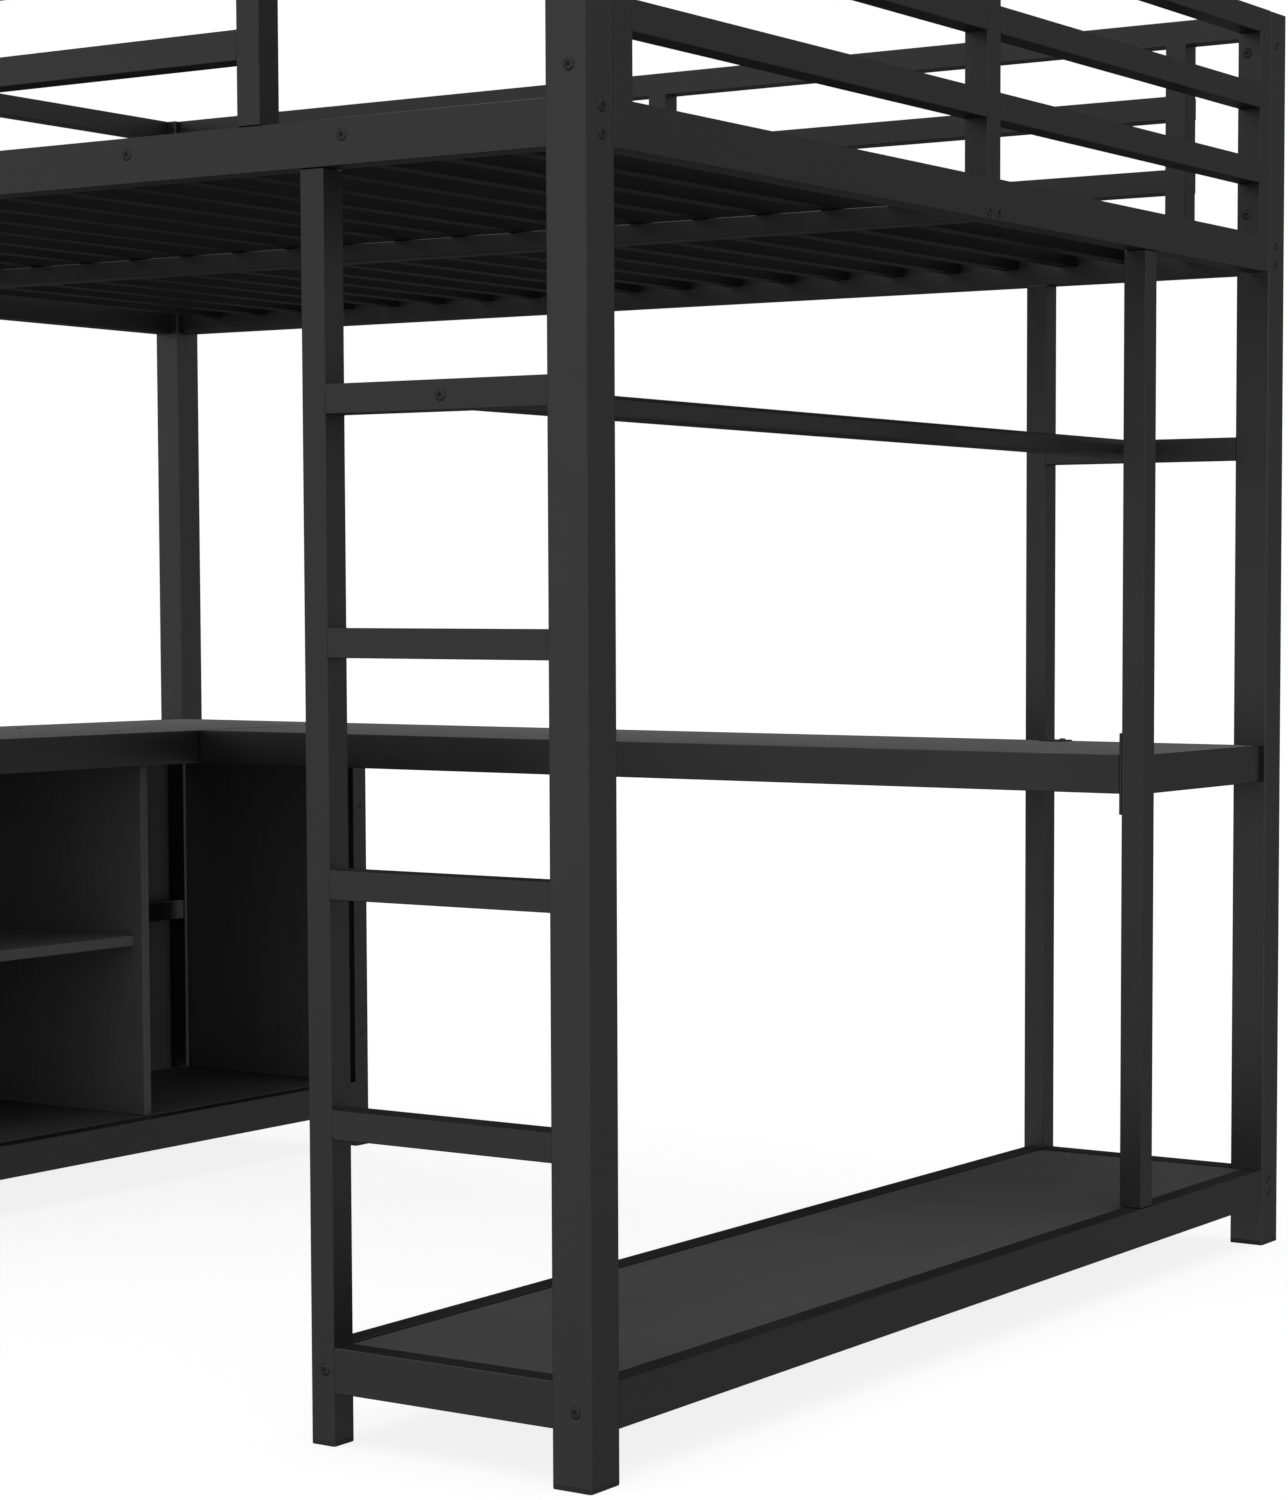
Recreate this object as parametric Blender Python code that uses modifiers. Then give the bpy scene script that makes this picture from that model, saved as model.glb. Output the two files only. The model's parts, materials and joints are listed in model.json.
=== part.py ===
"""Loft bed with desk: a steel-tube loft frame over an L-shaped desk, a cabinet and an open wardrobe bay.

World frame: metres, +Z up, origin on the floor under the middle of the footprint.
X runs along the bed and +X is the wardrobe end. Y runs across it and -Y is the ladder side.
Plan positions are given as a distance from the wardrobe-end plane (x) and from the ladder-side plane (y).
"""

import math

import bmesh
import bpy
from mathutils import Matrix

# ---------------------------------------------------------------- overall size
LENGTH = 2.110
WIDTH = 1.656
HEIGHT = 1.740
GAP = 0.0003
X_RIGHT = LENGTH / 2
Y_FRONT = -WIDTH / 2

# ---------------------------------------------------------------- steel sections
POST = 0.050
TUBE = 0.032
GUARD_RAIL_H = 0.033
RAIL_H = 0.050
RAIL_T = 0.028
LIP = 0.003
POST_RADIUS = 0.0016
TUBE_RADIUS = 0.0006
BOARD_RADIUS = 0.0008

# ---------------------------------------------------------------- heights of undersides
BED_RAIL_Z = 1.378
BED_RAIL_TOP = BED_RAIL_Z + RAIL_H
GUARD_LEVELS = (1.499, 1.6025, 1.707)
RUNG_LEVELS = (0.337, 0.597, 0.857, 1.117)
TRAY_Z = 0.059
TRAY_TOP = 0.109
DESK_Z = 0.662
DESK_TOP = 0.714

# ---------------------------------------------------------------- set-backs from the outer planes
LADDER_IN = 0.014
GUARD_IN = 0.009
BED_RAIL_IN = 0.011
REAR_LEG_IN = 0.018
STANCHION_IN = 0.003
DESK_END_IN = 0.007

# ---------------------------------------------------------------- plan positions
BAY_W = 0.388
STANCHION_Y = 1.235
REAR_GUARD_POSTS = (0.136, 1.039, 1.942)
FRONT_GUARD_POSTS = (0.440, 1.191, 1.942)
LONG_DESK_X = 1.676
DESK_REAR_Y = WIDTH - POST
DIVIDER_REAR_Y = 1.131

# ---------------------------------------------------------------- boards and cabinet
BOARD = 0.016
BOARD_DROP = 0.0005
TRAY_BOARD_DROP = 0.002
CABINET_FLOOR = 0.110
SHELF_Z = 0.378
SHELF_BACK = 0.016
SIDE_PANEL_FRONT = 1.690
SIDE_PANEL_BACK = 2.040
BACK_TUBE_Z = 0.367
BACK_PANEL_TOP = 0.700
LEG_TOP = 0.712

# ---------------------------------------------------------------- bed deck
SLAT_COUNT = 20
SLAT_W = 0.025
SLAT_H = 0.020
BEAM_W = 0.030
BEAM_H = 0.024

# ---------------------------------------------------------------- wardrobe fittings
BAR_W = 0.015
BAR_H = 0.0285
BAR_X = 0.203
BAR_Z = 1.119
BAR_STEPS = 8
PLATE_T = 0.004
PLATE_LOW = 0.634
PLATE_HIGH = 0.743
PLATE_RADIUS = 0.0015

STEEL_COLOUR = (0.024, 0.024, 0.025, 1.0)
STEEL_ROUGHNESS = 0.42
BOARD_COLOUR = (0.040, 0.040, 0.042, 1.0)
BOARD_ROUGHNESS = 0.55


# ---------------------------------------------------------------- helpers
def clear_scene():
    for obj in list(bpy.data.objects):
        bpy.data.objects.remove(obj, do_unlink=True)


def new_collection(name):
    coll = bpy.data.collections.new(name)
    bpy.context.scene.collection.children.link(coll)
    return coll


def xs(near, far):
    """World X range between two distances from the wardrobe-end plane."""
    return (X_RIGHT - far, X_RIGHT - near)


def ys(near, far):
    """World Y range between two distances from the ladder-side plane."""
    return (Y_FRONT + near, Y_FRONT + far)


def finish(obj, colour, roughness):
    mat = bpy.data.materials.new(obj.name)
    mat.use_nodes = True
    shader = mat.node_tree.nodes["Principled BSDF"]
    shader.inputs["Base Color"].default_value = colour
    shader.inputs["Roughness"].default_value = roughness
    shader.inputs["Metallic"].default_value = 0.0
    obj.data.materials.append(mat)


def steel_finish(obj):
    finish(obj, STEEL_COLOUR, STEEL_ROUGHNESS)


def board_finish(obj):
    finish(obj, BOARD_COLOUR, BOARD_ROUGHNESS)


def soften(obj, radius, segments=1):
    """Round the long edges by a small radius."""
    bevel = obj.modifiers.new("edge radius", "BEVEL")
    bevel.width = radius
    bevel.segments = segments
    bevel.limit_method = "ANGLE"
    bevel.angle_limit = math.radians(50)


def block(name, x, y, z, coll):
    """A plain bar or board that fills the given ranges."""
    size = (x[1] - x[0], y[1] - y[0], z[1] - z[0])
    bm = bmesh.new()
    bmesh.ops.create_cube(bm, size=1.0, matrix=Matrix.Diagonal((*size, 1.0)))
    mesh = bpy.data.meshes.new(name)
    bm.to_mesh(mesh)
    bm.free()
    obj = bpy.data.objects.new(name, mesh)
    obj.location = ((x[0] + x[1]) / 2, (y[0] + y[1]) / 2, (z[0] + z[1]) / 2)
    coll.objects.link(obj)
    return obj


def bar(name, x, y, z, coll, radius=TUBE_RADIUS, segments=1):
    obj = block(name, x, y, z, coll)
    steel_finish(obj)
    soften(obj, radius, segments)
    return obj


def board(name, x, y, z, coll):
    obj = block(name, x, y, z, coll)
    board_finish(obj)
    soften(obj, BOARD_RADIUS)
    return obj


def extruded(name, outline, holes, depth, coll):
    """A flat outline with holes, extruded evenly about its own plane and turned into a clean mesh."""
    curve = bpy.data.curves.new(name + "_outline", "CURVE")
    curve.dimensions = "2D"
    curve.fill_mode = "BOTH"
    curve.extrude = depth / 2
    for loop in [outline] + holes:
        spline = curve.splines.new("POLY")
        spline.points.add(len(loop) - 1)
        for point, (u, v) in zip(spline.points, loop):
            point.co = (u, v, 0.0, 1.0)
        spline.use_cyclic_u = True
    source = bpy.data.objects.new(name + "_outline", curve)
    mesh = bpy.data.meshes.new_from_object(source)
    bpy.data.objects.remove(source, do_unlink=True)
    mesh.name = name
    bm = bmesh.new()
    bm.from_mesh(mesh)
    bmesh.ops.remove_doubles(bm, verts=bm.verts, dist=0.00002)
    bmesh.ops.recalc_face_normals(bm, faces=bm.faces)
    bm.to_mesh(mesh)
    bm.free()
    obj = bpy.data.objects.new(name, mesh)
    coll.objects.link(obj)
    return obj


def stand_along_x(obj, y):
    """Stand an outline drawn in (x, z) upright, with its thickness centred on y."""
    obj.rotation_euler = (math.pi / 2, 0.0, 0.0)
    obj.location = (0.0, y, 0.0)


def stand_along_y(obj, x):
    """Stand an outline drawn in (y, z) upright, with its thickness centred on x."""
    obj.rotation_euler = (math.pi / 2, 0.0, math.pi / 2)
    obj.location = (x, 0.0, 0.0)


def rect(u, v):
    return [(u[0], v[0]), (u[1], v[0]), (u[1], v[1]), (u[0], v[1])]


# ---------------------------------------------------------------- loft frame
def build_posts(coll):
    for side_x, x in (("right", xs(0, POST)), ("left", xs(LENGTH - POST, LENGTH))):
        for side_y, y in (("front", ys(0, POST)), ("rear", ys(WIDTH - POST, WIDTH))):
            bar(f"post_{side_y}_{side_x}", x, y, (0.0, HEIGHT), coll, POST_RADIUS, 2)


def build_bed_rails(coll):
    x = xs(POST + GAP, LENGTH - POST - GAP)
    z = (BED_RAIL_Z, BED_RAIL_TOP)
    bar("bed_rail_front", x, ys(BED_RAIL_IN, BED_RAIL_IN + RAIL_T), z, coll)
    bar("bed_rail_rear", x, ys(WIDTH - BED_RAIL_IN - RAIL_T, WIDTH - BED_RAIL_IN), z, coll)


def build_end_panel(name, x_centre, coll):
    """Welded end: the end bed rail, three uprights and three guard rails in one frame."""
    y = ys(POST + GAP, WIDTH - POST - GAP)
    bays = ((y[0] + TUBE, -TUBE / 2), (TUBE / 2, y[1] - TUBE))
    floors = (BED_RAIL_TOP,) + tuple(level + GUARD_RAIL_H for level in GUARD_LEVELS[:2])
    holes = [rect(bay, gap) for gap in zip(floors, GUARD_LEVELS) for bay in bays]
    obj = extruded(name, rect(y, (BED_RAIL_Z, HEIGHT)), holes, TUBE, coll)
    stand_along_y(obj, x_centre)
    steel_finish(obj)
    soften(obj, TUBE_RADIUS)


def build_side_guard(name, y_centre, posts, top_ends, coll):
    """Welded guard: a top rail, uprights on the bed rail and two lower rails between the outer uprights."""
    feet = sorted(xs(near, near + TUBE) for near in posts)
    base = BED_RAIL_TOP + GAP
    low, mid, top = GUARD_LEVELS
    outline = [(top_ends[0], top), (top_ends[0], HEIGHT), (top_ends[1], HEIGHT)]
    if top_ends[1] > feet[-1][1]:
        outline.append((top_ends[1], top))
        outline.append((feet[-1][1], top))
    outline.append((feet[-1][1], base))
    outline.append((feet[-1][0], base))
    for left, right in reversed(list(zip(feet, feet[1:]))):
        outline.append((right[0], low))
        outline.append((left[1], low))
        outline.append((left[1], base))
        outline.append((left[0], base))
    outline.append((feet[0][0], top))
    holes = []
    for left, right in zip(feet, feet[1:]):
        holes.append(rect((left[1], right[0]), (low + GUARD_RAIL_H, mid)))
        holes.append(rect((left[1], right[0]), (mid + GUARD_RAIL_H, top)))
    obj = extruded(name, outline, holes, TUBE, coll)
    stand_along_x(obj, y_centre)
    steel_finish(obj)
    soften(obj, TUBE_RADIUS)


def build_guards(coll):
    build_end_panel("end_panel_right", X_RIGHT - TUBE / 2, coll)
    build_end_panel("end_panel_left", -X_RIGHT + TUBE / 2, coll)
    post_faces = xs(POST + GAP, LENGTH - POST - GAP)
    rear_y = Y_FRONT + WIDTH - GUARD_IN - TUBE / 2
    build_side_guard("guard_rear", rear_y, REAR_GUARD_POSTS, post_faces, coll)
    front_y = Y_FRONT + GUARD_IN + TUBE / 2
    front_ends = (post_faces[0], X_RIGHT - FRONT_GUARD_POSTS[0])
    build_side_guard("guard_front", front_y, FRONT_GUARD_POSTS, front_ends, coll)


def build_deck(coll):
    """Centre beam between the end panels, with slats across it from side rail to side rail."""
    x = xs(TUBE + GAP, LENGTH - TUBE - GAP)
    bar("centre_beam", x, (-BEAM_W / 2, BEAM_W / 2), (BED_RAIL_Z, BED_RAIL_Z + BEAM_H), coll)
    inner = BED_RAIL_IN + RAIL_T + GAP
    y = ys(inner, WIDTH - inner)
    z_low = BED_RAIL_Z + BEAM_H + GAP
    pitch = (x[1] - x[0]) / (SLAT_COUNT + 1)
    for index in range(SLAT_COUNT):
        centre = x[1] - pitch * (index + 1)
        span = (centre - SLAT_W / 2, centre + SLAT_W / 2)
        bar(f"slat_{index + 1:02d}", span, y, (z_low, z_low + SLAT_H), coll)


# ---------------------------------------------------------------- ladder and wardrobe bay
def build_ladder(coll):
    """Welded ladder: one upright with four rungs that reach across to the corner post."""
    left, right = xs(BAY_W - TUBE, BAY_W)
    end = X_RIGHT - POST - GAP
    outline = [(left, BED_RAIL_Z - GAP), (left, 0.0), (right, 0.0)]
    for level in RUNG_LEVELS:
        outline.append((right, level))
        outline.append((end, level))
        outline.append((end, level + TUBE))
        outline.append((right, level + TUBE))
    outline.append((right, BED_RAIL_Z - GAP))
    obj = extruded("ladder", outline, [], TUBE, coll)
    stand_along_x(obj, Y_FRONT + LADDER_IN + TUBE / 2)
    steel_finish(obj)
    soften(obj, TUBE_RADIUS)


def build_bay_posts(coll):
    rear_leg = ys(WIDTH - REAR_LEG_IN - TUBE, WIDTH - REAR_LEG_IN)
    under_rail = BED_RAIL_Z - GAP
    bar("bay_post_rear", xs(BAY_W - TUBE, BAY_W), rear_leg, (0.0, under_rail), coll)
    stanchion = ys(STANCHION_Y, STANCHION_Y + TUBE)
    stanchion_x = xs(STANCHION_IN, STANCHION_IN + TUBE)
    bar("bay_stanchion", stanchion_x, stanchion, (TRAY_TOP + GAP, under_rail), coll)
    span = xs(POST + GAP, BAY_W - TUBE - GAP)
    level = RUNG_LEVELS[-1]
    bar("bay_cross_rail", span, rear_leg, (level, level + TUBE), coll)


def half_turn(centre, height, radius, start):
    """Points of a half circle in (x, z), from the start angle onwards."""
    angles = [start + math.pi * step / BAR_STEPS for step in range(BAR_STEPS + 1)]
    return [(centre + radius * math.cos(a), height + radius * math.sin(a)) for a in angles]


def build_hanging_bar(coll):
    """Flat-sided oval bar from the top rung to the cross rail."""
    centre = X_RIGHT - BAR_X
    radius = BAR_W / 2
    outline = half_turn(centre, BAR_Z + BAR_H - radius, radius, 0.0)
    outline += half_turn(centre, BAR_Z + radius, radius, math.pi)
    near, far = ys(LADDER_IN + TUBE + GAP, WIDTH - REAR_LEG_IN - TUBE - GAP)
    obj = extruded("hanging_bar", outline, [], far - near, coll)
    stand_along_x(obj, (near + far) / 2)
    steel_finish(obj)
    for face in obj.data.polygons:
        face.use_smooth = len(face.vertices) == 4


def build_tray(coll):
    """Low shoe tray: four rails round an inset board."""
    z = (TRAY_Z, TRAY_TOP)
    across = xs(POST + GAP, BAY_W - TUBE - GAP)
    front = ys(LADDER_IN, LADDER_IN + RAIL_T)
    rear = ys(WIDTH - POST, WIDTH - POST + RAIL_T)
    bar("tray_rail_front", across, front, z, coll)
    bar("tray_rail_rear", across, rear, z, coll)
    bar("tray_rail_right", xs(0, RAIL_T), ys(POST + GAP, WIDTH - POST - GAP), z, coll)
    left_y = ys(LADDER_IN + TUBE + GAP, WIDTH - REAR_LEG_IN - TUBE - GAP)
    bar("tray_rail_left", xs(BAY_W - RAIL_T, BAY_W), left_y, z, coll)
    x = xs(RAIL_T + GAP, BAY_W - RAIL_T - GAP)
    y = ys(LADDER_IN + RAIL_T + GAP, WIDTH - POST - GAP)
    ladder = (X_RIGHT - BAY_W + TUBE + GAP, Y_FRONT + LADDER_IN + TUBE + GAP)
    corner = (X_RIGHT - POST - GAP, Y_FRONT + POST + GAP)
    outline = [
        (x[0], y[1]),
        (x[0], ladder[1]),
        (ladder[0], ladder[1]),
        (ladder[0], y[0]),
        (corner[0], y[0]),
        (corner[0], corner[1]),
        (x[1], corner[1]),
        (x[1], y[1]),
    ]
    obj = extruded("tray_board", outline, [], BOARD, coll)
    obj.location = (0.0, 0.0, TRAY_TOP - TRAY_BOARD_DROP - BOARD / 2)
    board_finish(obj)
    soften(obj, BOARD_RADIUS)


# ---------------------------------------------------------------- desks
def lipped_profile(outer, inner):
    """Section of a desk rail in (across, z): a full-height lip outside and a ledge for the board inside."""
    lip = outer + math.copysign(LIP, inner - outer)
    ledge = DESK_TOP - BOARD_DROP - BOARD - GAP
    foot = [(outer, DESK_Z), (inner, DESK_Z), (inner, ledge)]
    return foot + [(lip, ledge), (lip, DESK_TOP), (outer, DESK_TOP)]


def lipped_rail(name, outer, inner, span, along_x, coll):
    obj = extruded(name, lipped_profile(outer, inner), [], span[1] - span[0], coll)
    middle = (span[0] + span[1]) / 2
    if along_x:
        stand_along_y(obj, middle)
    else:
        stand_along_x(obj, middle)
    steel_finish(obj)
    soften(obj, BOARD_RADIUS)


def build_rear_desk(coll):
    """Desk leaf across the back: lipped rails on three sides with a board let in between them."""
    plate_x = xs(STANCHION_IN + TUBE + GAP, STANCHION_IN + TUBE + GAP + PLATE_T)
    plate_z = (PLATE_LOW, PLATE_HIGH)
    bar("desk_bracket_plate", plate_x, ys(STANCHION_Y, STANCHION_Y + TUBE), plate_z, coll, PLATE_RADIUS, 2)
    front = Y_FRONT + STANCHION_Y
    rear = Y_FRONT + DESK_REAR_Y
    end = X_RIGHT - DESK_END_IN
    left = X_RIGHT - LONG_DESK_X + GAP
    lipped_rail("desk_rail_front", front, front + RAIL_T, (left, plate_x[0] - GAP), True, coll)
    rear_span = (left, end - RAIL_T - GAP)
    lipped_rail("desk_rail_rear", rear - GAP, rear - GAP - RAIL_T, rear_span, True, coll)
    end_span = (front + TUBE + GAP, rear - GAP)
    lipped_rail("desk_rail_end", end, end - RAIL_T, end_span, False, coll)
    lip = LIP + GAP
    outline = [
        (left, front + lip),
        (plate_x[0] - GAP, front + lip),
        (plate_x[0] - GAP, front + TUBE + GAP),
        (end - lip, front + TUBE + GAP),
        (end - lip, rear - GAP - lip),
        (left, rear - GAP - lip),
    ]
    obj = extruded("desk_board_rear", outline, [], BOARD, coll)
    obj.location = (0.0, 0.0, DESK_TOP - BOARD_DROP - BOARD / 2)
    board_finish(obj)
    soften(obj, BOARD_RADIUS)


def cut_box(obj, name, x, y, z, cutters):
    cutter = block(name, x, y, z, cutters)
    cutter.hide_render = True
    cutter.display_type = "WIRE"
    cut = obj.modifiers.new(name, "BOOLEAN")
    cut.operation = "DIFFERENCE"
    cut.solver = "EXACT"
    cut.object = cutter


def build_long_desk(coll, cutters):
    """Desk leaf over the cabinet: a welded rim with a ledge, and a board let into it."""
    x = xs(LONG_DESK_X, LENGTH - POST - GAP)
    y = ys(POST + GAP, WIDTH - POST - GAP)
    ledge = DESK_TOP - BOARD_DROP - BOARD - GAP
    frame = block("desk_frame_long", x, y, (DESK_Z, DESK_TOP), coll)
    steel_finish(frame)
    well_x = (x[0] + RAIL_T, x[1] - RAIL_T)
    well_y = (y[0] + RAIL_T, y[1] - RAIL_T)
    cut_box(frame, "frame_well", well_x, well_y, (DESK_Z - RAIL_H, DESK_TOP + RAIL_H), cutters)
    seat_x = (x[0] + LIP, x[1] - LIP)
    seat_y = (y[0] + LIP, y[1] - LIP)
    cut_box(frame, "board_seat", seat_x, seat_y, (ledge, DESK_TOP + RAIL_H), cutters)
    soften(frame, BOARD_RADIUS)
    board_x = (seat_x[0] + GAP, seat_x[1] - GAP)
    board_y = (seat_y[0] + GAP, seat_y[1] - GAP)
    board("desk_board_long", board_x, board_y, (ledge + GAP, ledge + GAP + BOARD), coll)


# ---------------------------------------------------------------- cabinet under the long desk
def build_cabinet(coll):
    leg_x = xs(LONG_DESK_X, LONG_DESK_X + TUBE)
    bar("cabinet_leg_front", leg_x, ys(POST - TUBE, POST), (0.0, LEG_TOP), coll)
    bar("cabinet_leg_rear", leg_x, ys(WIDTH - POST, WIDTH - POST + TUBE), (0.0, LEG_TOP), coll)
    rail_x = xs(LONG_DESK_X, LONG_DESK_X + RAIL_T)
    inner_y = ys(POST + GAP, WIDTH - POST - GAP)
    bar("cabinet_rail", rail_x, inner_y, (TRAY_Z, TRAY_TOP), coll)
    back = LENGTH - POST - GAP
    front = LONG_DESK_X + RAIL_T + GAP
    board("cabinet_floor", xs(front, back), inner_y, (CABINET_FLOOR - BOARD, CABINET_FLOOR), coll)
    z = (CABINET_FLOOR + GAP, DESK_Z - GAP)
    side_x = xs(SIDE_PANEL_FRONT, SIDE_PANEL_BACK)
    board("cabinet_side_front", side_x, ys(POST + GAP, POST + GAP + BOARD), z, coll)
    board("cabinet_side_rear", side_x, ys(WIDTH - POST - GAP - BOARD, WIDTH - POST - GAP), z, coll)
    rear = ys(DIVIDER_REAR_Y, DIVIDER_REAR_Y + BOARD)
    board("cabinet_divider_rear", xs(front, back), rear, z, coll)
    board("cabinet_divider_front", xs(front, back), (-rear[1], -rear[0]), z, coll)
    shelf_y = (-rear[0] + GAP, rear[0] - GAP)
    shelf_x = xs(front + SHELF_BACK, back)
    board("cabinet_shelf", shelf_x, shelf_y, (SHELF_Z, SHELF_Z + BOARD), coll)
    panel_front = LENGTH - BOARD
    tube_x = xs(panel_front - GAP - TUBE, panel_front - GAP)
    bar("cabinet_back_tube", tube_x, inner_y, (BACK_TUBE_Z, BACK_TUBE_Z + TUBE), coll)
    board("cabinet_back", xs(panel_front, LENGTH), inner_y, (CABINET_FLOOR - BOARD, BACK_PANEL_TOP), coll)


def build():
    coll = new_collection("loft_bed_with_desk")
    cutters = new_collection("cutters")
    build_posts(coll)
    build_bed_rails(coll)
    build_guards(coll)
    build_deck(coll)
    build_ladder(coll)
    build_bay_posts(coll)
    build_hanging_bar(coll)
    build_tray(coll)
    build_rear_desk(coll)
    build_long_desk(coll, cutters)
    build_cabinet(coll)


clear_scene()
build()
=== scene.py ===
"""Looks for the loft bed with desk: powder-coated steel, laminated boards, fasteners, light and camera."""

import json
import math

import bmesh
import bpy
from mathutils import Matrix, Vector


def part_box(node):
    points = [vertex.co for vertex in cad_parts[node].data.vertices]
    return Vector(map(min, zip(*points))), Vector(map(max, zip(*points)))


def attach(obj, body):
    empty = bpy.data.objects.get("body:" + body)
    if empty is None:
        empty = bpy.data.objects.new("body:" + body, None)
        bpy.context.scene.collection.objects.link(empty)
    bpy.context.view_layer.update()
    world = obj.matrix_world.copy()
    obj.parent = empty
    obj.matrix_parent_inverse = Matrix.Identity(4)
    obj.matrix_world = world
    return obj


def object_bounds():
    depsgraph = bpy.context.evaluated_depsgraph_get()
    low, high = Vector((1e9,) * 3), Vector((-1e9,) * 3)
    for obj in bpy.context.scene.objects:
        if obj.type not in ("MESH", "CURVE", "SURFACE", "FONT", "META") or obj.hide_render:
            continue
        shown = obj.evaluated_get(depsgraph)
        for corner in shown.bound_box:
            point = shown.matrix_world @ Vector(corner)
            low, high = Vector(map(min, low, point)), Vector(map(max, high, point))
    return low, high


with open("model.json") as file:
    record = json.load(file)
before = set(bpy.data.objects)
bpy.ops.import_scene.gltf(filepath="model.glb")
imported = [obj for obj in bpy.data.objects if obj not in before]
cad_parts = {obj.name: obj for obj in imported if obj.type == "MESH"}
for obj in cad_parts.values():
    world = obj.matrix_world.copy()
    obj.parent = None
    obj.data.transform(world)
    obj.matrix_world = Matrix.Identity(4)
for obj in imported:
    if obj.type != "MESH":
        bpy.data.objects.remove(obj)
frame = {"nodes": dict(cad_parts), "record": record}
CAD_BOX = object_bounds()
NODES = frame["nodes"]
BOARD_NODES = {s["node"] for s in frame["record"]["subparts"] if s["material_slot"] == "board"}

# camera, in metres and degrees, in the row frame
CAMERA_AT = (CAD_BOX[1][0] + 2.0599, CAD_BOX[0][1] - 2.7851, 0.9183)
CAMERA_YAW = 32.075
CAMERA_PITCH = -3.497
LENS = 81.79
SHIFT_X = -0.1378
SHIFT_Y = 0.0393

# studio light, as brightness of the surround in each direction
SURROUND_NEAR = 0.74
SURROUND_FAR = 0.02
SURROUND_ABOVE = 2.00
SURROUND_BELOW = 0.15
FLOOR_GLOW = 0.86

# the frame's small tube and where it is welded
TUBE = 0.032
RUNG_LEVELS = (0.337, 0.597, 0.857, 1.117)
GUARD_LEVELS = (1.499, 1.6025, 1.707)
REAR_UPRIGHTS = (0.136, 1.039, 1.942)
FRONT_UPRIGHTS = (0.440, 1.191, 1.942)
WELD_RADIUS = 0.0006
WELD_RIPPLE = 0.0022
WELD_INSET = 0.0012

# fasteners: radius, how far the head stands out, and where they sit
BOLT_RADIUS = 0.0062
BOLT_PROUD = 0.0010
END_BOLT_IN = 0.029
SIDE_BOLT_IN = 0.020
RAIL_BOLT_LEVELS = (1.418, 1.390)
PANEL_BOLT_LEVELS = (1.680, 1.457, 0.0835)
TRAY_JOINT_LEVEL = 0.0835
UPRIGHT_BOLT_LEVELS = (1.679, 1.456)
TRAY_BOLT_LEVELS = (0.095, 0.0745)
GUARD_BOLT_LEVEL = 1.696
LADDER_BOLT_X, LADDER_BOLT_LEVEL = 0.369, 0.084
BAR_BOLT_X, BAR_BOLT_REAR_X, BAR_BOLT_LEVEL = 0.199, 0.203, 1.133
BEAM_BOLT_YS, BEAM_BOLT_LEVEL = (0.817, 0.839), 1.3875
GUARD_FIXING_XS, GUARD_FIXING_LEVEL = (0.327, 0.636, 1.191, 1.760), 1.410
SCREW_RADIUS, SCREW_PROUD = 0.0042, 0.0009
SCREW_XS, SCREW_YS = (1.760, 1.975), (1.139, 0.517)
HOLE_RADIUS, HOLE_RIM = 0.0032, 0.0025
HOLE_LEVELS = (0.575, 0.190)

# desk clip, feet and plugs
CLIP_X = 0.3285
CLIP_SIZE, CLIP_CORNER = (0.043, 0.030, 0.0020), 0.005
CLIP_IN, CLIP_SCREW_IN = 0.0165, 0.014
CLIP_SCREW_XS = (-0.011, 0.010)
CLIP_SCREW_RADIUS, CLIP_SCREW_PROUD = 0.0045, 0.0022
CLIP_RISE, CLIP_SCREW_RISE = 0.0012, 0.0022
GLIDE_PROUD, GLIDE_HEIGHT, GLIDE_CORNER = 0.0004, 0.0060, 0.0034
PLUG_MARGIN, PLUG_HEIGHT, PLUG_SINK, PLUG_CORNER = 0.0044, 0.0012, 0.0005, 0.004

LEFT, FRONT = CAD_BOX[0][0], CAD_BOX[0][1]
RIGHT, REAR = CAD_BOX[1][:2]


# ---------------------------------------------------------------- node helpers
def add(tree, kind, **inputs):
    node = tree.nodes.new(kind)
    for key, value in inputs.items():
        node.inputs[key.replace("_", " ")].default_value = value
    return node


def ramp(tree, source, low, high, dark, light):
    node = tree.nodes.new("ShaderNodeMapRange")
    node.inputs["From Min"].default_value = low
    node.inputs["From Max"].default_value = high
    node.inputs["To Min"].default_value = dark
    node.inputs["To Max"].default_value = light
    tree.links.new(source, node.inputs["Value"])
    return node.outputs["Result"]


def mix_colour(tree, factor, first, second):
    node = tree.nodes.new("ShaderNodeMix")
    node.data_type = "RGBA"
    tree.links.new(factor, node.inputs["Factor"])
    for socket, value in ((node.inputs[6], first), (node.inputs[7], second)):
        if isinstance(value, tuple):
            socket.default_value = value
        else:
            tree.links.new(value, socket)
    return node.outputs[2]


def grey(value, tint=0.0):
    return (value, value, value * (1.0 + tint), 1.0)


def new_material(name):
    mat = bpy.data.materials.new(name)
    mat.use_nodes = True
    return mat, mat.node_tree, mat.node_tree.nodes["Principled BSDF"]


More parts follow.
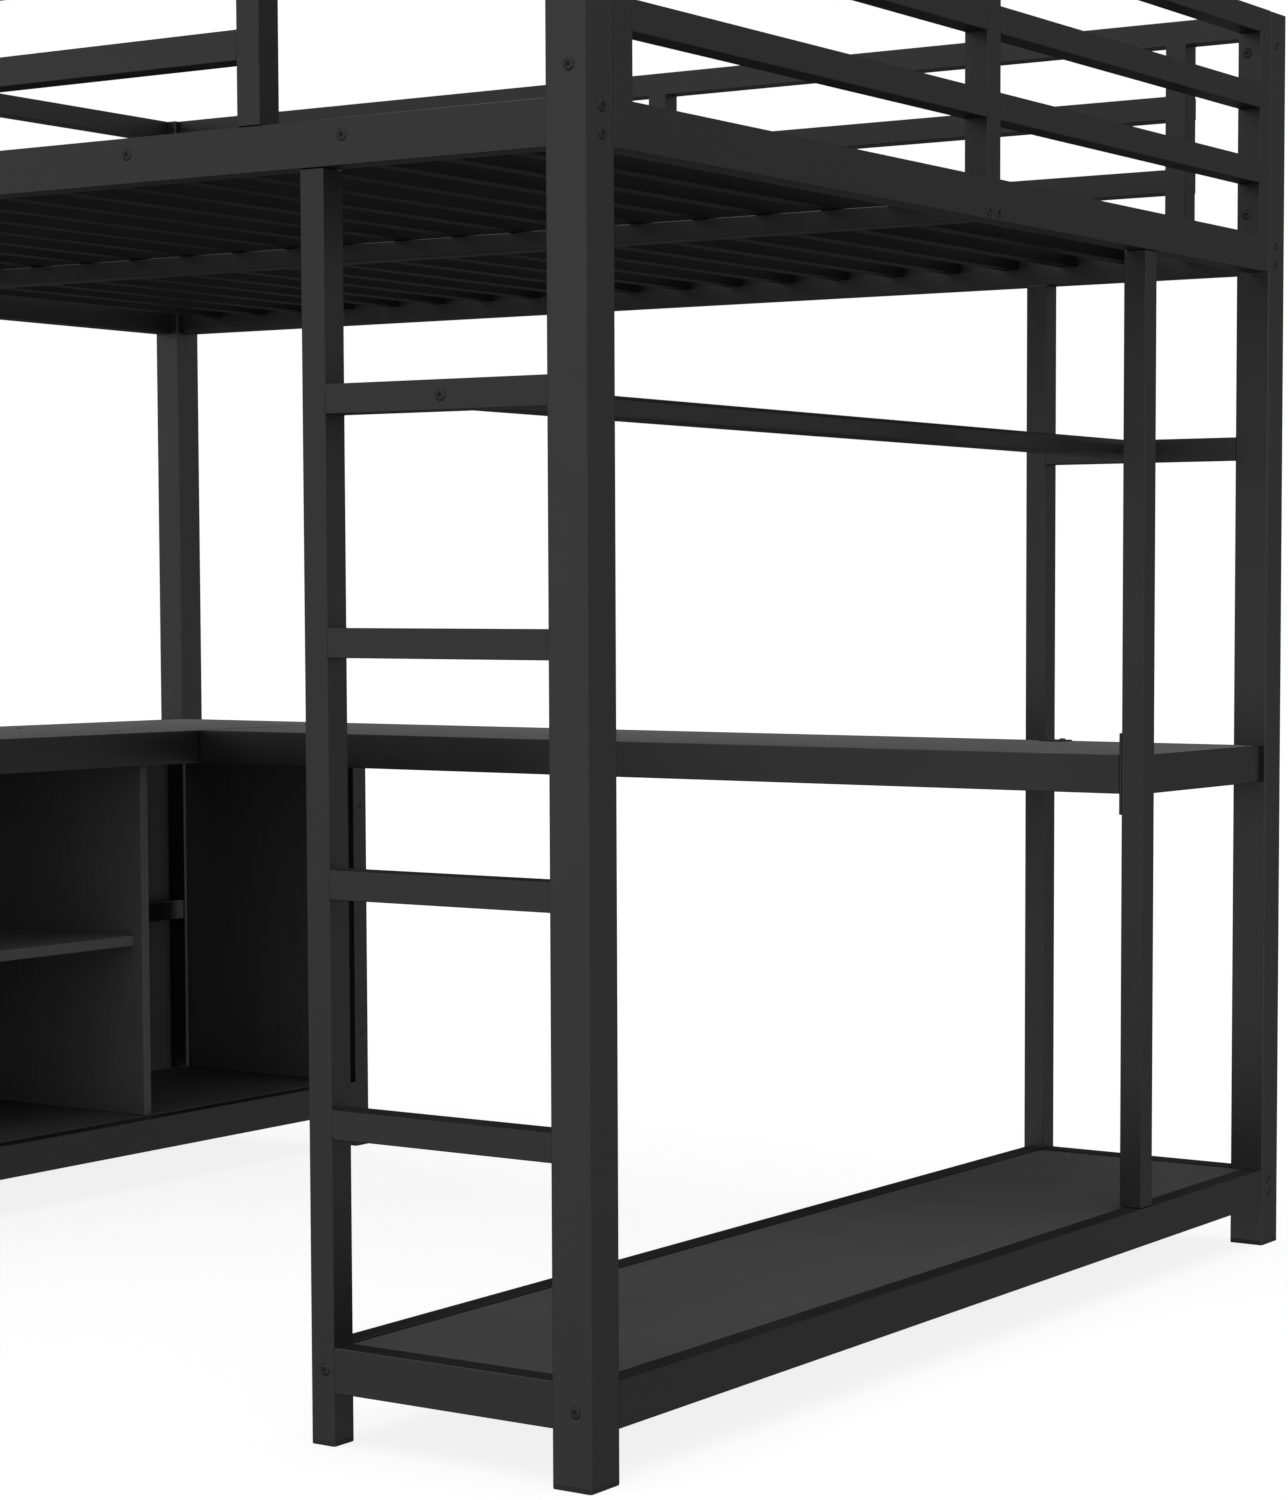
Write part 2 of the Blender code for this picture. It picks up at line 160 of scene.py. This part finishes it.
# ---------------------------------------------------------------- materials
def powder_coat(name, base, light, roughness, peel=0.10, gloss=0.60):
    """Satin black powder coat: fine orange peel, faint speckle, handling marks and uneven sheen."""
    mat, tree, shader = new_material(name)
    coords = tree.nodes.new("ShaderNodeTexCoord").outputs["Object"]
    speckle = add(tree, "ShaderNodeTexNoise", Scale=1400.0, Detail=2.0)
    cloud = add(tree, "ShaderNodeTexNoise", Scale=5.5, Detail=4.0, Roughness=0.6)
    scuff = add(tree, "ShaderNodeTexNoise", Scale=38.0, Detail=6.0, Roughness=0.7)
    orange = add(tree, "ShaderNodeTexNoise", Scale=620.0, Detail=3.0, Roughness=0.5)
    for node in (speckle, cloud, scuff, orange):
        tree.links.new(coords, node.inputs["Vector"])
    patches = ramp(tree, cloud.outputs["Fac"], 0.3, 0.7, 0.0, 1.0)
    tone = mix_colour(tree, patches, grey(base, 0.02), grey(light, 0.03))
    fleck = ramp(tree, speckle.outputs["Fac"], 0.62, 0.80, 0.0, 0.35)
    flecked = mix_colour(tree, fleck, tone, grey(light * 2.2, 0.02))
    mark = ramp(tree, scuff.outputs["Fac"], 0.66, 0.78, 0.0, 0.22)
    colour = mix_colour(tree, mark, flecked, grey(light * 1.9))
    tree.links.new(colour, shader.inputs["Base Color"])
    sheen = ramp(tree, cloud.outputs["Fac"], 0.25, 0.75, roughness - 0.05, roughness + 0.06)
    tree.links.new(sheen, shader.inputs["Roughness"])
    bump = add(tree, "ShaderNodeBump", Strength=peel, Distance=0.0004)
    tree.links.new(orange.outputs["Fac"], bump.inputs["Height"])
    tree.links.new(bump.outputs["Normal"], shader.inputs["Normal"])
    shader.inputs["Specular IOR Level"].default_value = gloss
    return mat


def laminate(name, base, light, roughness, grain_axis):
    """Matt black laminated board: long faint grain along one axis, fine emboss and soft smudges."""
    mat, tree, shader = new_material(name)
    coords = tree.nodes.new("ShaderNodeTexCoord").outputs["Object"]
    stretch = tree.nodes.new("ShaderNodeMapping")
    stretch.inputs["Scale"].default_value = tuple(0.05 if i == grain_axis else 1.0 for i in range(3))
    tree.links.new(coords, stretch.inputs["Vector"])
    grain = add(tree, "ShaderNodeTexNoise", Scale=260.0, Detail=5.0, Roughness=0.62)
    broad = add(tree, "ShaderNodeTexNoise", Scale=32.0, Detail=3.0, Roughness=0.5)
    smudge = add(tree, "ShaderNodeTexNoise", Scale=4.0, Detail=3.0, Roughness=0.55)
    emboss = add(tree, "ShaderNodeTexNoise", Scale=900.0, Detail=2.0)
    tree.links.new(stretch.outputs["Vector"], grain.inputs["Vector"])
    tree.links.new(stretch.outputs["Vector"], broad.inputs["Vector"])
    tree.links.new(coords, smudge.inputs["Vector"])
    tree.links.new(coords, emboss.inputs["Vector"])
    streaks = ramp(tree, grain.outputs["Fac"], 0.35, 0.68, 0.0, 1.0)
    lines = mix_colour(tree, streaks, grey(base, 0.02), grey(light, 0.02))
    bands = ramp(tree, broad.outputs["Fac"], 0.35, 0.65, 0.0, 0.35)
    banded = mix_colour(tree, bands, lines, grey(base * 0.85, 0.02))
    hazy = ramp(tree, smudge.outputs["Fac"], 0.45, 0.75, 0.0, 0.25)
    tree.links.new(mix_colour(tree, hazy, banded, grey(light * 1.12, 0.03)), shader.inputs["Base Color"])
    sheen = ramp(tree, smudge.outputs["Fac"], 0.3, 0.7, roughness + 0.05, roughness - 0.05)
    tree.links.new(sheen, shader.inputs["Roughness"])
    height = tree.nodes.new("ShaderNodeMath")
    height.operation = "ADD"
    tree.links.new(grain.outputs["Fac"], height.inputs[0])
    tree.links.new(emboss.outputs["Fac"], height.inputs[1])
    bump = add(tree, "ShaderNodeBump", Strength=0.16, Distance=0.0003)
    tree.links.new(height.outputs[0], bump.inputs["Height"])
    tree.links.new(bump.outputs["Normal"], shader.inputs["Normal"])
    shader.inputs["Specular IOR Level"].default_value = 0.15
    return mat


def plastic_and_painted_shade(name, base, roughness):
    """Black moulded plastic for feet and plugs, and also the near-black painted shade put in bolt sockets,
    round bolt heads and in hole wells: fine texture with dusty patches.
    """
    mat, tree, shader = new_material(name)
    coords = tree.nodes.new("ShaderNodeTexCoord").outputs["Object"]
    fine = add(tree, "ShaderNodeTexNoise", Scale=1800.0, Detail=2.0)
    dust = add(tree, "ShaderNodeTexNoise", Scale=60.0, Detail=5.0, Roughness=0.65)
    tree.links.new(coords, fine.inputs["Vector"])
    tree.links.new(coords, dust.inputs["Vector"])
    amount = ramp(tree, dust.outputs["Fac"], 0.45, 0.8, 0.0, 0.5)
    tree.links.new(mix_colour(tree, amount, grey(base), grey(base * 2.4)), shader.inputs["Base Color"])
    sheen = ramp(tree, dust.outputs["Fac"], 0.3, 0.7, roughness, roughness + 0.12)
    tree.links.new(sheen, shader.inputs["Roughness"])
    bump = add(tree, "ShaderNodeBump", Strength=0.25, Distance=0.0003)
    tree.links.new(fine.outputs["Fac"], bump.inputs["Height"])
    tree.links.new(bump.outputs["Normal"], shader.inputs["Normal"])
    return mat


def black_zinc(name, base, roughness):
    """Blackened fastener steel: turned rings, worn light where the key has rubbed."""
    mat, tree, shader = new_material(name)
    coords = tree.nodes.new("ShaderNodeTexCoord").outputs["Object"]
    wear = add(tree, "ShaderNodeTexNoise", Scale=420.0, Detail=4.0, Roughness=0.7)
    rings = add(tree, "ShaderNodeTexWave", Scale=260.0, Distortion=1.0, Detail=1.0)
    rings.wave_type = "RINGS"
    tree.links.new(coords, wear.inputs["Vector"])
    tree.links.new(coords, rings.inputs["Vector"])
    amount = ramp(tree, wear.outputs["Fac"], 0.5, 0.75, 0.0, 0.6)
    tree.links.new(mix_colour(tree, amount, grey(base), grey(base * 2.6)), shader.inputs["Base Color"])
    sheen = ramp(tree, wear.outputs["Fac"], 0.3, 0.7, roughness - 0.06, roughness + 0.1)
    tree.links.new(sheen, shader.inputs["Roughness"])
    bump = add(tree, "ShaderNodeBump", Strength=0.12, Distance=0.0002)
    tree.links.new(rings.outputs["Fac"], bump.inputs["Height"])
    tree.links.new(bump.outputs["Normal"], shader.inputs["Normal"])
    shader.inputs["Metallic"].default_value = 0.7
    return mat


def floor_finish(name):
    """Plain pale floor with a barely visible mottle, lit from within so that shadows stay faint."""
    mat, tree, shader = new_material(name)
    coords = tree.nodes.new("ShaderNodeTexCoord").outputs["Object"]
    mottle = add(tree, "ShaderNodeTexNoise", Scale=1.2, Detail=3.0)
    tree.links.new(coords, mottle.inputs["Vector"])
    colour = mix_colour(tree, mottle.outputs["Fac"], grey(0.17), grey(0.19))
    tree.links.new(colour, shader.inputs["Base Color"])
    shader.inputs["Roughness"].default_value = 0.9
    shader.inputs["Specular IOR Level"].default_value = 0.0
    shader.inputs["Emission Color"].default_value = grey(1.0)
    shader.inputs["Emission Strength"].default_value = FLOOR_GLOW
    return mat


STEEL = powder_coat("powder_coat_black", 0.0042, 0.0056, 0.36, gloss=0.72)
STEEL_TUBE = powder_coat("powder_coat_small_tube", 0.0042, 0.0056, 0.36, 0.12, 0.64)
# painted shade: a darker, less glossy copy of the same powder coat, darkening the slats seen from below in
# the shade of the bed
STEEL_SLAT_PAINTED_SHADE = powder_coat("powder_coat_slat", 0.0034, 0.0044, 0.42, 0.12, 0.25)
# painted light: lighter copies of the same black laminate, lightening the desk top to stand for the light
# falling on it
DESK_BOARD_X_PAINTED_LIGHT = laminate("laminate_desk_along_painted_light", 0.130, 0.148, 0.60, 0)
DESK_BOARD_Y_PAINTED_LIGHT = laminate("laminate_desk_across_painted_light", 0.130, 0.148, 0.60, 1)
TRAY_BOARD = laminate("laminate_tray", 0.058, 0.067, 0.62, 1)
# painted shade: a darker copy of the black laminate, darkening the cabinet floor for the shade inside the
# cabinet
FLOOR_BOARD_PAINTED_SHADE = laminate("laminate_floor_painted_shade", 0.044, 0.052, 0.62, 1)
SHELF_BOARD = laminate("laminate_cabinet_shelf", 0.080, 0.092, 0.60, 1)
# painted shade: a darker copy of the black laminate, darkening the cabinet sides for the shade in and
# round the cabinet
SIDE_BOARD_PAINTED_SHADE = laminate("laminate_side_painted_shade", 0.050, 0.058, 0.62, 2)
UPRIGHT_BOARD = laminate("laminate_upright", 0.070, 0.082, 0.62, 2)
PLASTIC = plastic_and_painted_shade("moulded_plastic_black", 0.008, 0.5)
FASTENER = black_zinc("blackened_fastener", 0.035, 0.38)
# painted shade: a near-black finish for bolt sockets, the ring round each bolt head and the hole wells,
# standing in for the shade there
SOCKET_PAINTED_SHADE = plastic_and_painted_shade("socket_shadow", 0.004, 0.7)


# the desk boards carry painted light, the cabinet floor and side boards painted shade
BOARD_FINISHES = {
    "desk_board_rear": DESK_BOARD_X_PAINTED_LIGHT,
    "desk_board_long": DESK_BOARD_Y_PAINTED_LIGHT,
    "tray_board": TRAY_BOARD,
    "cabinet_floor": FLOOR_BOARD_PAINTED_SHADE,
    "cabinet_shelf": SHELF_BOARD,
    "cabinet_side_front": SIDE_BOARD_PAINTED_SHADE,
    "cabinet_side_rear": SIDE_BOARD_PAINTED_SHADE,
}


def finish_of(name):
    if name in BOARD_NODES:
        return BOARD_FINISHES.get(name, UPRIGHT_BOARD)
    if name.startswith("slat_"):
        return STEEL_SLAT_PAINTED_SHADE
    return STEEL if name.startswith("post_") else STEEL_TUBE


def dress_nodes():
    for name, obj in NODES.items():
        for slot in obj.material_slots:
            slot.material = finish_of(name)


# ---------------------------------------------------------------- small hardware
def finish_piece(name, bm, mats):
    mesh = bpy.data.meshes.new(name)
    bm.to_mesh(mesh)
    bm.free()
    for mat in mats:
        mesh.materials.append(mat)
    obj = bpy.data.objects.new(name, mesh)
    bpy.context.scene.collection.objects.link(obj)
    return obj


def ride_root(obj):
    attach(obj, "root")


def ring_of(bm, radius, height, count):
    verts = []
    for step in range(count):
        angle = 2 * math.pi * step / count
        verts.append(bm.verts.new((radius * math.cos(angle), radius * math.sin(angle), height)))
    return verts


def bridge(bm, lower, upper, material, smooth):
    count = len(lower)
    for i in range(count):
        j = (i + 1) % count
        face = bm.faces.new((lower[i], lower[j], upper[j], upper[i]))
        face.material_index = material
        face.smooth = smooth


def socket_bolt(name, radius, proud, at, axis):
    """Low button head with a hexagon socket. The head stands on the face at the point, along the axis. The
    ring at its foot and the socket walls and floor carry the near-black finish as painted shade.
    """
    bm = bmesh.new()
    count = 24
    # the first two bands are the ring round the foot of the head, painted dark as the shade of the gap
    # under it
    gap_shade_ring = ((1.16, 0.00), (1.14, 0.12), (1.00, 0.14))
    profile = gap_shade_ring + ((0.99, 0.55), (0.90, 0.82), (0.74, 0.96), (0.56, 1.00))
    rings = [ring_of(bm, radius * r, proud * h, count) for r, h in profile]
    # material 1 is painted shade, material 0 the head itself
    for index, (lower, upper) in enumerate(zip(rings, rings[1:])):
        bridge(bm, lower, upper, 1 if index < 2 else 0, index > 1)
    rim = []
    floor = []
    for step in range(count):
        angle = 2 * math.pi * step / count
        local = (angle + math.pi / 6) % (math.pi / 3) - math.pi / 6
        hexagon = radius * 0.46 / max(math.cos(local), 0.5) * math.cos(math.pi / 6)
        rim.append(bm.verts.new((hexagon * math.cos(angle), hexagon * math.sin(angle), proud * 0.98)))
        floor.append(bm.verts.new((hexagon * math.cos(angle), hexagon * math.sin(angle), proud * 0.12)))
    # the socket walls and floor below are painted shade
    bridge(bm, rings[-1], rim, 0, False)
    bridge(bm, rim, floor, 1, False)
    bottom = bm.faces.new(floor)
    bottom.material_index = 1
    obj = finish_piece(name, bm, (FASTENER, SOCKET_PAINTED_SHADE))
    obj.location = at
    obj.rotation_euler = Vector(axis).to_track_quat("Z", "Y").to_euler()
    ride_root(obj)
    return obj


def drilled_hole(name, radius, at, axis):
    """An open hole in a tube wall: a slightly raised rim closed by a flat near-black disc, painted shade
    in place of the hole's depth.
    """
    bm = bmesh.new()
    count = 20
    profile = ((1.30, 0.00), (1.24, 0.10), (1.08, 0.16), (0.98, 0.04))
    rings = [ring_of(bm, radius * r, HOLE_RIM * h, count) for r, h in profile]
    for index, (lower, upper) in enumerate(zip(rings, rings[1:])):
        bridge(bm, lower, upper, 0, True)
    # a flat disc in painted shade stands in for the inside of the hole
    painted_shade_well = bm.faces.new(rings[-1])
    painted_shade_well.material_index = 1
    obj = finish_piece(name, bm, (STEEL_TUBE, SOCKET_PAINTED_SHADE))
    obj.location = at
    obj.rotation_euler = Vector(axis).to_track_quat("Z", "Y").to_euler()
    ride_root(obj)
    return obj


CORNER_POSTS = ("post_front_right", "post_rear_right", "post_front_left", "post_rear_left")
PLUS_X, MINUS_X, PLUS_Y, MINUS_Y = (1, 0, 0), (-1, 0, 0), (0, 1, 0), (0, -1, 0)


def corner_bolts():
    """Bolts through the corner posts into the bed rails and end panels."""
    front_y, rear_y = FRONT + END_BOLT_IN, REAR - END_BOLT_IN
    right_x, left_x = RIGHT - SIDE_BOLT_IN, LEFT + SIDE_BOLT_IN
    spots = []
    for z in RAIL_BOLT_LEVELS:
        spots.append(("rail_bolt_front", (RIGHT, front_y, z), PLUS_X))
        spots.append(("rail_bolt_rear", (RIGHT, rear_y, z), PLUS_X))
        spots.append(("rail_bolt_front_left", (LEFT, front_y, z), MINUS_X))
        spots.append(("rail_bolt_rear_left", (LEFT, rear_y, z), MINUS_X))
    for z in PANEL_BOLT_LEVELS:
        spots.append(("panel_bolt_front", (right_x, FRONT, z), MINUS_Y))
        spots.append(("panel_bolt_rear", (right_x, REAR, z), PLUS_Y))
        if z > TRAY_JOINT_LEVEL:
            spots.append(("panel_bolt_front_left", (left_x, FRONT, z), MINUS_Y))
            spots.append(("panel_bolt_rear_left", (left_x, REAR, z), PLUS_Y))
    panel_low, panel_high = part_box("end_panel_right")
    for z in UPRIGHT_BOLT_LEVELS:
        spots.append(("upright_bolt", (right_x, panel_high[1] - TUBE, z), MINUS_Y))
        spots.append(("upright_bolt_front", (right_x, panel_low[1] + TUBE, z), PLUS_Y))
    for z in TRAY_BOLT_LEVELS:
        spots.append(("tray_bolt_rear", (RIGHT, rear_y, z), PLUS_X))
    spots.append(("guard_bolt_rear", (RIGHT, rear_y, GUARD_BOLT_LEVEL), PLUS_X))
    spots.append(("guard_bolt_rear_left", (LEFT, rear_y, GUARD_BOLT_LEVEL), MINUS_X))
    spots.append(("guard_bolt_front_left", (LEFT, front_y, GUARD_BOLT_LEVEL), MINUS_X))
    return spots


def fitting_bolts():
    """Bolts of the ladder, clothes bar, centre beam and guards."""
    ladder_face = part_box("ladder")[0][1]
    cross_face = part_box("bay_cross_rail")[1][1]
    rail_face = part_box("bed_rail_front")[0][1]
    rail_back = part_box("bed_rail_rear")[1][1]
    spots = [
        ("ladder_tray_bolt", (RIGHT - LADDER_BOLT_X, ladder_face, LADDER_BOLT_LEVEL), MINUS_Y),
        ("hanging_bar_bolt", (RIGHT - BAR_BOLT_X, ladder_face, BAR_BOLT_LEVEL), MINUS_Y),
        ("hanging_bar_bolt_rear", (RIGHT - BAR_BOLT_REAR_X, cross_face, BAR_BOLT_LEVEL), PLUS_Y),
    ]
    for y in BEAM_BOLT_YS:
        spots.append(("beam_bolt", (RIGHT, FRONT + y, BEAM_BOLT_LEVEL), PLUS_X))
        spots.append(("beam_bolt_left", (LEFT, FRONT + y, BEAM_BOLT_LEVEL), MINUS_X))
    for x in GUARD_FIXING_XS:
        spots.append(("guard_fixing", (RIGHT - x, rail_face, GUARD_FIXING_LEVEL), MINUS_Y))
        spots.append(("guard_fixing_rear", (RIGHT - x, rail_back, GUARD_FIXING_LEVEL), PLUS_Y))
    return spots


def build_bolts():
    for index, (name, at, axis) in enumerate(corner_bolts() + fitting_bolts()):
        socket_bolt(f"{name}_{index:02d}", BOLT_RADIUS, BOLT_PROUD, at, axis)


def build_desk_screws():
    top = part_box("desk_board_long")[1][2]
    for x in SCREW_XS:
        for y in SCREW_YS:
            name = f"desk_screw_{int(x * 1000)}_{int(y * 1000)}"
            socket_bolt(name, SCREW_RADIUS, SCREW_PROUD, (RIGHT - x, FRONT + y, top), (0, 0, 1))


def build_leg_holes():
    for side in ("rear", "front"):
        low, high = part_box("cabinet_leg_" + side)
        for z in HOLE_LEVELS:
            at = (high[0], (low[1] + high[1]) / 2, z)
            drilled_hole(f"leg_hole_{side}_{int(z * 1000)}", HOLE_RADIUS, at, PLUS_X)


def rounded_plate(name, size, corner, mats):
    """A flat plate about its own centre, with rounded corners and a soft edge."""
    bm = bmesh.new()
    loop = []
    for sx, sy, start in ((1, 1, 0), (-1, 1, 90), (-1, -1, 180), (1, -1, 270)):
        for step in range(5):
            angle = math.radians(start + step * 22.5)
            x = sx * (size[0] / 2 - corner) + corner * math.cos(angle)
            y = sy * (size[1] / 2 - corner) + corner * math.sin(angle)
            loop.append(bm.verts.new((x, y, -size[2] / 2)))
    bottom = bm.faces.new(loop)
    result = bmesh.ops.extrude_face_region(bm, geom=[bottom])
    top = [v for v in result["geom"] if isinstance(v, bmesh.types.BMVert)]
    bmesh.ops.translate(bm, verts=top, vec=(0, 0, size[2]))
    bmesh.ops.recalc_face_normals(bm, faces=bm.faces)
    obj = finish_piece(name, bm, mats)
    bevel = obj.modifiers.new("soft edge", "BEVEL")
    bevel.width = min(size[2] * 0.3, 0.0006)
    bevel.segments = 2
    bevel.limit_method = "ANGLE"
    return obj


def build_desk_clip():
    """Flat clip that ties the back edge of the rear desk to the bay post, with its two screws."""
    post_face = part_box("bay_post_rear")[0][1]
    board_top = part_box("desk_board_rear")[1][2]
    middle_x = RIGHT - CLIP_X
    flat = rounded_plate("desk_clip_flat", CLIP_SIZE, CLIP_CORNER, (STEEL_TUBE,))
    flat.location = (middle_x, post_face - CLIP_IN, board_top + CLIP_RISE)
    ride_root(flat)
    for index, offset in enumerate(CLIP_SCREW_XS):
        at = (middle_x + offset, post_face - CLIP_SCREW_IN, board_top + CLIP_SCREW_RISE)
        socket_bolt(f"desk_clip_screw_{index}", CLIP_SCREW_RADIUS, CLIP_SCREW_PROUD, at, (0, 0, 1))


def cap_at(name, x, y):
    """A skirt round the bottom of the tube, standing slightly out from the metal."""
    size = (x[1] - x[0] + 2 * GLIDE_PROUD, y[1] - y[0] + 2 * GLIDE_PROUD, GLIDE_HEIGHT)
    obj = rounded_plate(name, size, GLIDE_CORNER, (PLASTIC,))
    obj.location = ((x[0] + x[1]) / 2, (y[0] + y[1]) / 2, size[2] / 2)
    ride_root(obj)


def foot_caps():
    """Plastic glides under each leg, let into the tube end so that the height stays the same."""
    small = ("bay_post_rear", "cabinet_leg_front", "cabinet_leg_rear")
    for name in CORNER_POSTS + small:
        low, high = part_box(name)
        cap_at(name + "_glide", (low[0], high[0]), (low[1], high[1]))
    low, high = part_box("ladder")
    cap_at("ladder_glide", (low[0], low[0] + TUBE), (low[1], high[1]))


def top_plugs():
    """Plastic plugs in the open tops of the corner posts, nearly flush with the metal."""
    for name in CORNER_POSTS:
        low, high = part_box(name)
        side = high[0] - low[0] - PLUG_MARGIN
        obj = rounded_plate(name + "_plug", (side, side, PLUG_HEIGHT), PLUG_CORNER, (PLASTIC,))
        obj.location = ((low[0] + high[0]) / 2, (low[1] + high[1]) / 2, high[2] - PLUG_SINK)
        ride_root(obj)


def weld_beads(name, lines, radius=WELD_RADIUS):
    """Rippled fillets of weld along joint lines, each given by its two ends."""
    bm = bmesh.new()
    for start, end in lines:
        line = Vector(end) - Vector(start)
        turn = line.to_track_quat("Z", "Y")
        steps = max(6, int(line.length / WELD_RIPPLE))
        previous = None
        for step in range(steps + 1):
            swell = radius * (0.85 + 0.15 * math.cos(step * math.pi))
            centre = Vector(start) + line * step / steps
            ring = []
            for k in range(8):
                angle = 2 * math.pi * k / 8
                offset = Vector((swell * math.cos(angle), swell * math.sin(angle), 0.0))
                ring.append(bm.verts.new(centre + turn @ offset))
            if previous:
                bridge(bm, previous, ring, 0, True)
            else:
                bm.faces.new(list(reversed(ring)))
            previous = ring
        bm.faces.new(previous)
    bmesh.ops.recalc_face_normals(bm, faces=bm.faces)
    obj = finish_piece(name, bm, (STEEL_TUBE,))
    ride_root(obj)


def seam(x, y, level):
    """The joint line at one side of a rail, as high as the tube, on one face."""
    return (x, y, level + WELD_INSET), (x, y, level + TUBE - WELD_INSET)


def build_welds():
    low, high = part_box("ladder")
    edge = low[0] + TUBE
    ladder = []
    for level in RUNG_LEVELS:
        ladder += [seam(edge, low[1], level), seam(edge, high[1], level)]
    weld_beads("ladder_welds", ladder)
    for name, outer in (("end_panel_right", 1), ("end_panel_left", 0)):
        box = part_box(name)
        face = box[outer][0]
        edges = (box[0][1] + TUBE, -TUBE / 2, TUBE / 2, box[1][1] - TUBE)
        seams = []
        for y in edges:
            for level in GUARD_LEVELS:
                seams.append(seam(face, y, level))
        weld_beads(name + "_welds", seams)
    sides = (("guard_rear", 1, REAR_UPRIGHTS), ("guard_front", 0, FRONT_UPRIGHTS))
    for name, outer, uprights in sides:
        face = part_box(name)[outer][1]
        seams = []
        for near in uprights:
            for x in (RIGHT - near, RIGHT - near - TUBE):
                for level in GUARD_LEVELS[:2]:
                    seams.append(seam(x, face, level))
        weld_beads(name + "_welds", seams)


# ---------------------------------------------------------------- stage
def build_floor():
    bm = bmesh.new()
    bmesh.ops.create_grid(bm, x_segments=8, y_segments=8, size=30.0)
    obj = finish_piece("floor", bm, (floor_finish("pale_floor"),))
    obj.location = (0.0, 0.0, -0.0005)
    obj.visible_diffuse = False
    obj.visible_glossy = False


def blend(tree, factor, first, second):
    node = tree.nodes.new("ShaderNodeMix")
    for socket, value in zip((node.inputs[0], node.inputs[2], node.inputs[3]), (factor, first, second)):
        if isinstance(value, float):
            socket.default_value = value
        else:
            tree.links.new(value, socket)
    return node.outputs[0]


def build_world():
    """Bright overhead and round the ladder corner, dark behind the far corner, white to look at."""
    world = bpy.data.worlds.new("studio")
    world.use_nodes = True
    tree = world.node_tree
    background = tree.nodes["Background"]
    direction = tree.nodes.new("ShaderNodeTexCoord").outputs["Generated"]
    split = tree.nodes.new("ShaderNodeSeparateXYZ")
    tree.links.new(direction, split.inputs["Vector"])
    away = tree.nodes.new("ShaderNodeVectorMath")
    away.operation = "DOT_PRODUCT"
    tree.links.new(direction, away.inputs[0])
    yaw = math.radians(CAMERA_YAW)
    away.inputs[1].default_value = (-math.sin(yaw), math.cos(yaw), 0.0)
    side = ramp(tree, away.outputs["Value"], -0.44, 0.85, SURROUND_NEAR, SURROUND_FAR)
    sinking = ramp(tree, split.outputs["Z"], -0.10, -0.60, 0.0, 1.0)
    rising = ramp(tree, split.outputs["Z"], 0.64, 0.98, 0.0, 1.0)
    lower = blend(tree, sinking, side, SURROUND_BELOW)
    level = blend(tree, rising, lower, SURROUND_ABOVE)
    seen = tree.nodes.new("ShaderNodeLightPath").outputs["Is Camera Ray"]
    tree.links.new(blend(tree, seen, level, 1.0), background.inputs["Strength"])
    background.inputs["Color"].default_value = (1.0, 1.0, 1.0, 1.0)
    bpy.context.scene.world = world


def build_camera():
    data = bpy.data.cameras.new("camera")
    data.sensor_width = 36.0
    data.lens = LENS
    data.shift_x = SHIFT_X
    data.shift_y = SHIFT_Y
    data.clip_end = 100.0
    obj = bpy.data.objects.new("camera", data)
    yaw = Matrix.Rotation(math.radians(CAMERA_YAW), 4, "Z")
    pitch = Matrix.Rotation(math.radians(90.0 + CAMERA_PITCH), 4, "X")
    obj.matrix_world = Matrix.Translation(CAMERA_AT) @ yaw @ pitch
    bpy.context.scene.collection.objects.link(obj)
    bpy.context.scene.camera = obj


bpy.context.scene.view_settings.view_transform = "Standard"
dress_nodes()
build_bolts()
build_desk_screws()
build_leg_holes()
build_desk_clip()
foot_caps()
top_plugs()
build_welds()
build_floor()
build_world()
build_camera()
